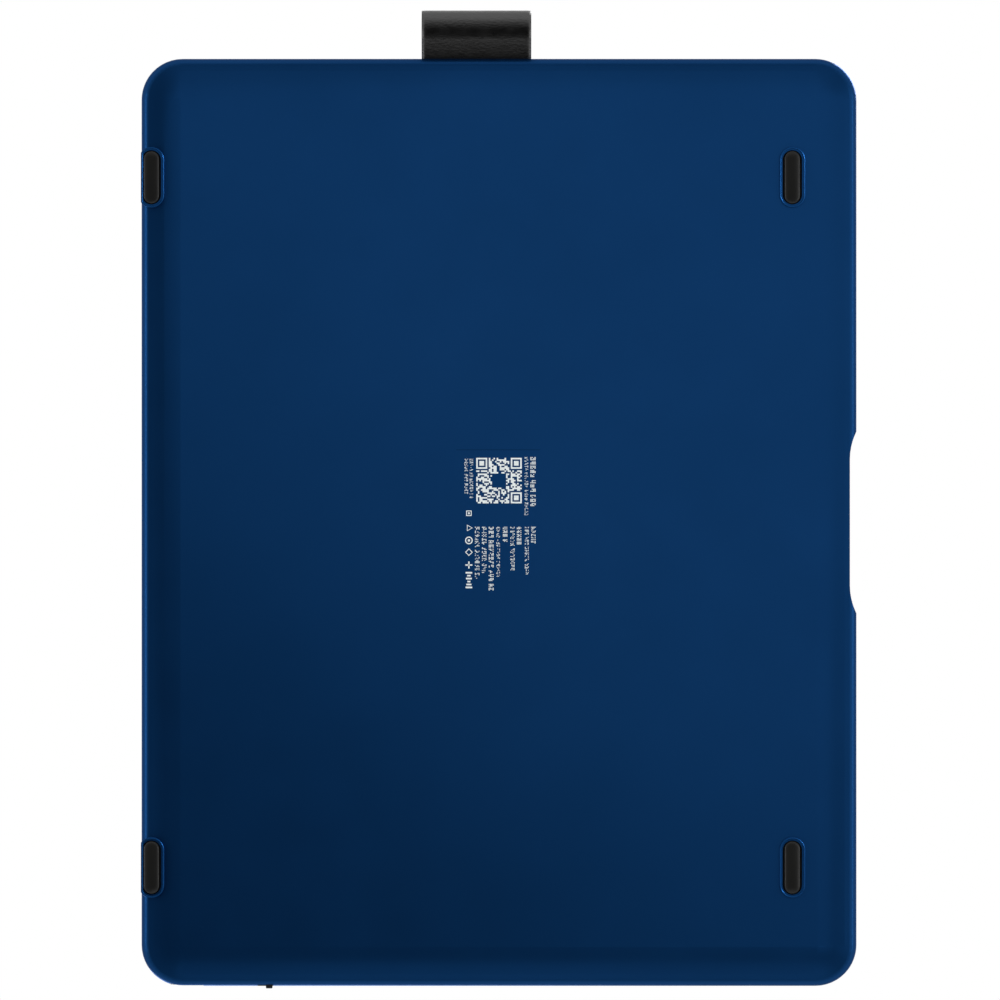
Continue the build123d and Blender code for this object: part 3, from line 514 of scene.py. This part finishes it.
STRAP = 1.2 * MM
STRAP_TAIL_Z = 4.6 * MM
STRAP_TAIL = 4.9 * MM
STRAP_NECK = 0.3 * MM
LOOP_START = -68  # degrees, where the strap's middle line meets the loop, and how far it goes round
LOOP_SWEEP = -226
LOOP_STEPS = 48
STRAP_COLUMNS = 26
CUT_EDGE = 0.86  # the strap's thickness along its cut edges, as a share of the rest
CREASE = 0.016 * MM
CREASE_WAVES = 5
CREASE_SEED = 3


def strap_line(loop_low, loop_high):
    """The middle line of the folded strap in X and Z: one tail, round the pen, and the other tail."""
    radius = (loop_high.z - loop_low.z) / 2 - STRAP / 2
    centre = Vector((loop_low.x + radius + STRAP / 2, (loop_high.z + loop_low.z) / 2))
    side_x = SHELL_LOW.x - STRAP_NECK
    tail_x = SHELL_LOW.x + STRAP_TAIL
    low_z = STRAP_TAIL_Z + STRAP / 2
    high_z = low_z + STRAP
    line = [Vector((tail_x, low_z)), Vector((side_x, low_z))]
    for step in range(LOOP_STEPS + 1):
        angle = math.radians(LOOP_START + LOOP_SWEEP * step / LOOP_STEPS)
        line.append(centre + radius * Vector((math.cos(angle), math.sin(angle))))
    return line + [Vector((side_x, high_z)), Vector((tail_x, high_z))]


def strap_ring(bm, rng, point, out, y_low, width):
    """One closed cross-section: the outer face across the strap, then the inner face back."""
    ring = []
    crease = rng.uniform(0, CREASE)
    for layer in (1, -1):
        for column in range(STRAP_COLUMNS + 1):
            share = column / STRAP_COLUMNS
            if layer < 0:
                share = 1 - share
            at_edge = min(share, 1 - share) * STRAP_COLUMNS < 0.5
            half = STRAP / 2 * (CUT_EDGE if at_edge else 1)
            half -= crease * math.sin(math.pi * share * CREASE_WAVES) ** 2
            spot = point + layer * half * out
            ring.append(bm.verts.new((spot.x, y_low + width * share, spot.y)))
    return ring


def make_strap(materials):
    """The strap as one closed band, with slightly broken cut edges and faint creases round the bend."""
    low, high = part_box("pen_loop")
    line = strap_line(low, high)
    rng = random.Random(CREASE_SEED)
    bm = bmesh.new()
    rings = []
    for index, point in enumerate(line):
        along = (line[min(index + 1, len(line) - 1)] - line[max(index - 1, 0)]).normalized()
        out = Vector((-along.y, along.x))
        rings.append(strap_ring(bm, rng, point, out, low.y, high.y - low.y))
    skin(bm, rings)
    piece = add_piece("strap_band", bm, materials["strap_leather"], "base", True)
    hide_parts("pen_loop")
    return piece


# ---------------------------------------------------------------- feet

# Black rubber rings in the bottom of each foot recess, round the pad: painted shade in the recess.
RECESS_SHADE_Z = (1.22 * MM, 1.58 * MM)
RECESS_SHADE_REACH = (0.17 * MM, 0.46 * MM)  # beyond the pad's outline, along X and along Y
RECESS_SHADE_TUCK = 0.01 * MM
LIP_REACH = (0.8 * MM, 1.1 * MM)  # from the pad's outline to the lip's line, along X and along Y
LIP_R = 0.25 * MM
LIP_STEPS = 10
LIP_REAR_Y = SHELL_HIGH.y - 1.5 * LIP_R
PAD_CROWN = 0.6 * MM
PAD_STEPS = 12
PAD_INSET = 0.92  # how far in from the outline the crown's flat top starts, as a share of half the width
# Corner radii as shares of a full half circle: just under 1, so that no two points of an outline meet.
OUTER_ROUND = 0.98
PAD_ROUND = 0.99
FEET = ["rubber_foot_%s_%s" % (end, side) for end in ("front", "rear") for side in ("left", "right")]


def make_foot_flanges(materials):
    """Black rubber rings round each pad, filling the bottom of its recess: painted shade in the recess."""
    bm = bmesh.new()
    for node in FEET:
        low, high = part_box(node)
        half = (high.y - low.y) / 2
        outer = rounded_outline(*grown(low, high, *RECESS_SHADE_REACH), half + OUTER_ROUND * RECESS_SHADE_REACH[1])
        inner = rounded_outline(*grown(low, high, -RECESS_SHADE_TUCK, -RECESS_SHADE_TUCK), half - 2 * RECESS_SHADE_TUCK)
        rings = [ring_of(bm, outline, z) for z in RECESS_SHADE_Z for outline in (outer, inner)]
        outer_low, inner_low, outer_high, inner_high = rings
        wall(bm, outer_low, outer_high)
        wall(bm, inner_high, inner_low)
        wall(bm, inner_low, outer_low)
        wall(bm, outer_high, inner_high)
    return add_piece("foot_flanges", bm, materials["foot_rubber"], "base")


def lip_ring(bm, path, angle):
    """One turn of the lip's round section, offset from its path in the path's own plane and in Z."""
    ring = []
    for spot, (x, y) in enumerate(path):
        before = path[spot - 1]
        after = path[(spot + 1) % len(path)]
        along = Vector((after[0] - before[0], after[1] - before[1])).normalized()
        out = LIP_R * math.cos(angle)
        z = SHELL_LOW.z + LIP_R * math.sin(angle)
        ring.append(bm.verts.new((x + along.y * out, y - along.x * out, z)))
    return ring


def make_foot_lips(materials):
    """The rounded lip on each foot's rim; the rear ones keep inside the case's rear edge."""
    bm = bmesh.new()
    for node in FEET:
        low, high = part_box(node)
        radius = (high.y - low.y) / 2 + LIP_REACH[1]
        outline = rounded_outline(*grown(low, high, *LIP_REACH), OUTER_ROUND * radius)
        path = [(x, min(y, LIP_REAR_Y)) for x, y in outline]
        rings = [lip_ring(bm, path, math.tau * step / LIP_STEPS) for step in range(LIP_STEPS)]
        for step, ring in enumerate(rings):
            wall(bm, ring, rings[(step + 1) % LIP_STEPS])
    return add_piece("foot_lips", bm, materials["case_plastic"], "base", True)


def make_foot_pad(node, materials):
    """A pad whose underside is crowned across its width."""
    low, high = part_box(node)
    half = (high.y - low.y) / 2
    bm = bmesh.new()
    rings = [ring_of(bm, rounded_outline(low, high, PAD_ROUND * half), high.z)]
    for step in range(PAD_STEPS + 1):
        inset = PAD_INSET * step / PAD_STEPS
        smaller = grown(low, high, -inset * half, -inset * half)
        outline = rounded_outline(*smaller, (PAD_ROUND - inset) * half)
        rise = PAD_CROWN * (1 - math.sqrt(1 - (1 - inset) ** 2))
        rings.append(ring_of(bm, outline, low.z + rise))
    skin(bm, rings)
    name = node.replace("rubber_foot", "foot_pad")
    piece = add_piece(name, bm, materials["foot_rubber"], "base", True)
    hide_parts(node)
    return piece


def make_feet(materials):
    return [make_foot_flanges(materials)] + [make_foot_pad(node, materials) for node in FEET]


# ---------------------------------------------------------------- key legends

LEGEND_SIZE = 4.2 * MM
SMALL_LEGEND = 2.6 * MM
LEGEND_RAISE = 0.02 * MM
KEY_GAP = 2.4 * MM
NUMBER_ROW_KEYS = 13
WIDE_KEY = 20 * MM
WIDE_SHIFT = 0.18  # how far a wide key's legend stands from the middle, as a share of the key's width
CURVE_STEPS = 3
LEGEND_ROWS = {
    "function_row_keys": (["F" + str(number) for number in range(1, 13)] + ["del"], SMALL_LEGEND),
    "number_row_keys": (list("`1234567890-="), LEGEND_SIZE),
    "upper_row_keys": (list("QWERTYUIOP[]\\"), LEGEND_SIZE),
    "home_row_keys": (list("ASDFGHJKL;'"), LEGEND_SIZE),
    "lower_row_keys": (list("ZXCVBNM,./"), LEGEND_SIZE),
}
SINGLE_LEGENDS = {
    "escape_key": "esc", "backspace_key": "back", "tab_key": "tab", "caps_key": "caps",
    "enter_key": "enter", "left_shift_key": "shift", "right_shift_key": "shift",
    "left_arrow_key": "<", "right_arrow_key": ">", "up_arrow_key": "^", "down_arrow_key": "v",
}
# The bottom row, from each end inwards: legend and width in key units.
BOTTOM_LEFT = [("fn", 1), ("ctrl", 1), ("alt", 1), ("sys", 1.25)]
BOTTOM_RIGHT = [("alt", 1), ("sys", 1.25)]
HOME_BUMP_KEYS = (3, 6)
HOME_BUMP = Vector((2.8, 0.5, 0.12)) * MM
HOME_BUMP_Y = 2.4 * MM
HOME_BUMP_ROUND = 0.6  # bevel, as a share of the bump's height


def text_mesh(text, size):
    """Flat text as a thin closed mesh, centred on the origin."""
    curve = bpy.data.curves.new("legend", "FONT")
    curve.body = text
    curve.size = size
    curve.extrude = LEGEND_RAISE
    curve.align_x = "CENTER"
    curve.align_y = "CENTER"
    curve.resolution_u = CURVE_STEPS
    holder = bpy.data.objects.new("legend", curve)
    scene.collection.objects.link(holder)
    bpy.context.view_layer.update()
    depsgraph = bpy.context.evaluated_depsgraph_get()
    mesh = bpy.data.meshes.new_from_object(holder.evaluated_get(depsgraph))
    bpy.data.objects.remove(holder)
    bpy.data.curves.remove(curve)
    return mesh


def legends(node, marks, materials):
    """Joins the legends of one key node: marks are (text, x, y, z, size)."""
    bm = bmesh.new()
    for text, x, y, z, size in marks:
        mesh = text_mesh(text, size)
        mesh.transform(Matrix.Translation((x, y, z)))
        bm.from_mesh(mesh)
        bpy.data.meshes.remove(mesh)
    add_piece(node + "_legends", bm, materials["legend_ink"], node)


def key_pitch():
    """One key unit, from the equal keys of the number row."""
    low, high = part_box("number_row_keys")
    return (high.x - low.x + KEY_GAP) / NUMBER_ROW_KEYS


def row_marks(node, texts, size):
    """Legends for a row of equal keys that stand side by side."""
    low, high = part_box(node)
    pitch = (high.x - low.x + KEY_GAP) / len(texts)
    y = (low.y + high.y) / 2
    first = low.x - KEY_GAP / 2 + pitch / 2
    return [(text, first + pitch * number, y, high.z, size) for number, text in enumerate(texts)]


def single_mark(node, text):
    """A legend in the middle of its key, or towards the outer end of a wide one."""
    low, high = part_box(node)
    x = (low.x + high.x) / 2
    if high.x - low.x > WIDE_KEY:
        x += (high.x - low.x) * (-WIDE_SHIFT if x < BASE_X else WIDE_SHIFT)
    return [(text, x, (low.y + high.y) / 2, high.z, SMALL_LEGEND)]


def bottom_row_marks():
    """Legends of the bottom row, whose keys differ in width; the space key in it has a node of its own."""
    low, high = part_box("bottom_row_keys")
    y = (low.y + high.y) / 2
    marks = []
    for keys, end, way in ((BOTTOM_LEFT, low.x, 1), (BOTTOM_RIGHT, high.x, -1)):
        edge = end - way * KEY_GAP / 2
        for text, units in keys:
            reach = way * units * key_pitch()
            marks.append((text, edge + reach / 2, y, high.z, SMALL_LEGEND))
            edge += reach
    return marks


def make_home_bumps(materials):
    """The small ridges that the fingers find on two keys of the home row."""
    low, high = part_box("home_row_keys")
    bm = bmesh.new()
    for number in HOME_BUMP_KEYS:
        x = low.x - KEY_GAP / 2 + key_pitch() * (number + 0.5)
        middle = Vector((x, low.y + HOME_BUMP_Y, high.z))
        half = Vector((HOME_BUMP.x / 2, HOME_BUMP.y / 2, HOME_BUMP.z))
        add_box(bm, middle - half, middle + half)
    offset = HOME_BUMP_ROUND * HOME_BUMP.z
    bmesh.ops.bevel(bm, geom=bm.edges[:], offset=offset, segments=3, affect="EDGES", profile=0.5)
    add_piece("home_bumps", bm, materials["key_plastic"], "home_row_keys", True)


def make_legends(materials):
    for node, (texts, size) in LEGEND_ROWS.items():
        legends(node, row_marks(node, texts, size), materials)
    for node, text in SINGLE_LEGENDS.items():
        legends(node, single_mark(node, text), materials)
    legends("bottom_row_keys", bottom_row_marks(), materials)
    make_home_bumps(materials)


# ---------------------------------------------------------------- cradle lining

LINING_R = 9.6 * MM
LINING_PRESSED = 0.12 * MM
LINING_WINDOW = 33.0 * MM
LINING_WINDOW_R = 8.5 * MM


def fill_between(bm, outer, inner):
    """Fills the flat face between an outline and the hole in it."""
    edges = []
    for ring in (outer, inner):
        edges += [bm.edges.get(pair) or bm.edges.new(pair) for pair in zip(ring, ring[1:] + ring[:1])]
    bmesh.ops.triangle_fill(bm, use_beauty=True, edges=edges)


def make_lining(materials):
    """The lining as one cut sheet with the camera window in it; its face edges are pressed down."""
    low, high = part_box("lid_lining")
    ring_low, ring_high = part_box("camera_ring")
    middle = (ring_low + ring_high) / 2
    half = LINING_WINDOW / 2
    window = ((middle.x - half, middle.y - half), (middle.x + half, middle.y + half))
    bm = bmesh.new()
    outer_rings, inner_rings = [], []
    for inset, z in ((0, high.z), (0, low.z + LINING_PRESSED), (LINING_PRESSED, low.z)):
        outer = rounded_outline(*grown(low, high, -inset, -inset), LINING_R - inset)
        inner = rounded_outline(*grown(*window, inset, inset), LINING_WINDOW_R + inset)
        outer_rings.append(ring_of(bm, outer, z))
        inner_rings.append(ring_of(bm, inner, z))
    for rings in (outer_rings, inner_rings):
        wall(bm, rings[0], rings[1])
        wall(bm, rings[1], rings[2])
    for number in (0, 2):
        fill_between(bm, outer_rings[number], inner_rings[number])
    piece = add_piece("cradle_lining", bm, materials["lining_fabric"], "lid")
    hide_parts("lid_lining")


# ---------------------------------------------------------------- stage, lights, camera

FLOOR_HALF = 4.0
FLOOR_Z = -0.2 * MM
FLOOR_GREY = 0.82


def make_floor():
    """A pale floor just under the feet, seen only from above, so that the underside can be photographed."""
    mesh = bpy.data.meshes.new("floor")
    corners = [(FLOOR_HALF * x, FLOOR_HALF * y, FLOOR_Z) for x, y in ((-1, -1), (1, -1), (1, 1), (-1, 1))]
    mesh.from_pydata(corners, [], [(0, 1, 2, 3)])
    floor = bpy.data.objects.new("floor", mesh)
    scene.collection.objects.link(floor)
    material, tree, shader = new_material("floor")
    shader.inputs["Base Color"].default_value = (FLOOR_GREY, FLOOR_GREY, FLOOR_GREY, 1)
    shader.inputs["Roughness"].default_value = 0.7
    geometry = tree.nodes.new("ShaderNodeNewGeometry")
    clear = tree.nodes.new("ShaderNodeBsdfTransparent")
    mix = tree.nodes.new("ShaderNodeMixShader")
    tree.links.new(geometry.outputs["Backfacing"], mix.inputs["Fac"])
    tree.links.new(shader.outputs["BSDF"], mix.inputs[1])
    tree.links.new(clear.outputs["BSDF"], mix.inputs[2])
    tree.links.new(mix.outputs["Shader"], tree.nodes["Material Output"].inputs["Surface"])
    mesh.materials.append(material)
    floor.visible_shadow = False
    floor.visible_diffuse = False
    floor.visible_glossy = False


# Light by height, from straight down (0) through the horizon (0.5) to straight up (1).
SKY = (
    (0.0, 0.01), (0.05, 0.03), (0.09, 0.2), (0.22, 0.6),
    (0.34, 1.1), (0.46, 1.2), (0.58, 1.0), (0.75, 0.72),
)


def sky_light(tree):
    """A background whose light changes with height, as SKY says."""
    coordinates = tree.nodes.new("ShaderNodeTexCoord")
    split = tree.nodes.new("ShaderNodeSeparateXYZ")
    ramp = tree.nodes.new("ShaderNodeValToRGB")
    elements = ramp.color_ramp.elements
    while len(elements) < len(SKY):
        elements.new(0.5)
    for element, (position, level) in zip(elements, SKY):
        element.position = position
        element.color = (level, level, level, 1)
    light = tree.nodes.new("ShaderNodeBackground")
    tree.links.new(coordinates.outputs["Generated"], split.inputs["Vector"])
    height = remap(tree, split.outputs["Z"], 0, 1, from_low=-1, from_high=1)
    tree.links.new(height, ramp.inputs["Fac"])
    tree.links.new(ramp.outputs["Color"], light.inputs["Color"])
    return light


def make_world():
    """White to the camera; for the light it gives, bright at the horizon and dimmer above and below."""
    world = bpy.data.worlds.new("studio")
    scene.world = world
    world.use_nodes = True
    tree = world.node_tree
    tree.nodes.clear()
    output = tree.nodes.new("ShaderNodeOutputWorld")
    mix = tree.nodes.new("ShaderNodeMixShader")
    path = tree.nodes.new("ShaderNodeLightPath")
    seen = tree.nodes.new("ShaderNodeBackground")
    seen.inputs["Color"].default_value = (1, 1, 1, 1)
    tree.links.new(path.outputs["Is Camera Ray"], mix.inputs["Fac"])
    tree.links.new(sky_light(tree).outputs["Background"], mix.inputs[1])
    tree.links.new(seen.outputs["Background"], mix.inputs[2])
    tree.links.new(mix.outputs["Shader"], output.inputs["Surface"])


OUTLINE_Z = 4.0 * MM  # the lamps aim at this height, and the picture's scale holds there
SOFTBOX_DROP = 0.5
# Softboxes level with the floor, shining up: name, centre from the base's middle, size, turn, power.
# The flat underside mirrors the first, whose edge crosses its rear right part; the rolled edges look
# past it, at the others and at the bright horizon.
UNDER_SOFTBOXES = [
    ("under_key", (-0.110, -0.080), (0.40, 0.52), 35.6, 0.68),
    ("under_right", (0.42, -0.05), (0.22, 0.40), 0.0, 0.20),
    ("under_left", (-0.38, -0.05), (0.14, 0.50), 0.0, 0.15),
    ("under_front", (-0.05, -0.66), (0.60, 0.50), 0.0, 0.9),
]
# Two low strips beside the case, for the bright lines on its rolled long edges: name, Y, height and power.
STRIP_SIZE = (0.50, 0.14)
EDGE_STRIPS = [
    ("rear_strip", 1.05, -0.40, 1.5),
    ("front_strip", -1.05, -0.30, 1.0),
]
# Round lamps: name, place from the base's middle with its height, diameter and power.
LIP_KEY = ("lip_key", (-0.35, -0.8, -0.3), 0.3, 14.0)
OVER_LAMPS = [
    ("over_key", (-0.5, -0.6, 0.9), 0.6, 8.0),
    ("over_fill", (0.7, 0.3, 0.7), 0.7, 4.0),
]


def add_lamp(name, shape, size, power):
    """An area lamp with a length and a width, or a diameter given twice."""
    data = bpy.data.lights.new(name, "AREA")
    data.shape = shape
    data.size, data.size_y = size
    data.energy = power
    lamp = bpy.data.objects.new(name, data)
    scene.collection.objects.link(lamp)
    return lamp


def aim_from(lamp, place):
    """Puts a lamp at a place from the base's middle and turns it towards the case."""
    lamp.location = (BASE_X + place[0], BASE_Y + place[1], place[2])
    target = Vector((BASE_X, BASE_Y, OUTLINE_Z))
    lamp.rotation_mode = "QUATERNION"
    lamp.rotation_quaternion = (target - lamp.location).to_track_quat("-Z", "Y")


def make_round_lamp(name, place, diameter, power):
    lamp = add_lamp(name, "DISK", (diameter, diameter), power)
    aim_from(lamp, place)
    return lamp


def make_under_softbox(name, centre, size, turn, power):
    lamp = add_lamp(name, "RECTANGLE", size, power)
    place = Matrix.Translation((BASE_X + centre[0], BASE_Y + centre[1], -SOFTBOX_DROP))
    face_up = Matrix.Rotation(math.pi, 4, "X")
    lamp.matrix_world = place @ Matrix.Rotation(math.radians(turn), 4, "Z") @ face_up
    lamp.visible_camera = False
    return lamp


def make_edge_strip(name, y, height, power):
    lamp = add_lamp(name, "RECTANGLE", STRIP_SIZE, power)
    aim_from(lamp, (0, y, height))
    lamp.visible_camera = False


def flag_off(lamp, pieces):
    """Keeps one lamp's light off some pieces, as a flag on a stand would."""
    shaded = bpy.data.collections.new(lamp.name + "_flag")
    for piece in pieces:
        shaded.objects.link(piece)
    for member in shaded.collection_objects:
        member.light_linking.link_state = "EXCLUDE"
    lamp.light_linking.receiver_collection = shaded


def light_only(lamp, piece):
    """Keeps one lamp's light to one piece, as a snoot would."""
    lit = bpy.data.collections.new(lamp.name + "_snoot")
    lit.objects.link(piece)
    lamp.light_linking.receiver_collection = lit
    lamp.visible_camera = False


def make_lights(strap, feet, lips):
    """The lamps: the strap is flagged from all the softboxes and the feet from the first one."""
    for number, softbox in enumerate(UNDER_SOFTBOXES):
        lamp = make_under_softbox(*softbox)
        flag_off(lamp, [strap, *feet] if number == 0 else [strap])
    for strip in EDGE_STRIPS:
        make_edge_strip(*strip)
    light_only(make_round_lamp(*LIP_KEY), lips)
    for lamp in OVER_LAMPS:
        make_round_lamp(*lamp)


SENSOR_WIDTH = 36.0
CAMERA_DISTANCE = 2.0
FRAME_WIDTH = 0.27283  # what the picture's width covers at OUTLINE_Z
VIEW_CENTRE = (-6.11 * MM, -0.27 * MM)


def make_camera():
    """Straight up at the underside: the rear edge is at the picture's left, the pen loop at its top."""
    data = bpy.data.cameras.new("camera")
    data.sensor_width = SENSOR_WIDTH
    data.lens = SENSOR_WIDTH * CAMERA_DISTANCE / FRAME_WIDTH
    data.clip_start = 0.05
    data.clip_end = 20.0
    camera = bpy.data.objects.new("camera", data)
    scene.collection.objects.link(camera)
    place = Vector((BASE_X + VIEW_CENTRE[0], BASE_Y + VIEW_CENTRE[1], OUTLINE_Z - CAMERA_DISTANCE))
    turn = Matrix(((0, -1, 0), (-1, 0, 0), (0, 0, -1)))
    camera.matrix_world = Matrix.Translation(place) @ turn.to_4x4()
    scene.camera = camera


def dress_cad_nodes(materials):
    """Gives every CAD node the material of its slot in the record."""
    for subpart in frame["record"]["subparts"]:
        node = NODES[subpart["node"]]
        node.data.materials.clear()
        node.data.materials.append(materials[subpart["material_slot"]])


materials = make_materials()
dress_cad_nodes(materials)
make_label(materials)
strap_piece = make_strap(materials)
foot_pieces = make_feet(materials)
lip_piece = make_foot_lips(materials)
make_legends(materials)
make_lining(materials)
make_floor()
make_world()
make_lights(strap_piece, foot_pieces, lip_piece)
make_camera()
scene.view_settings.view_transform = "Standard"
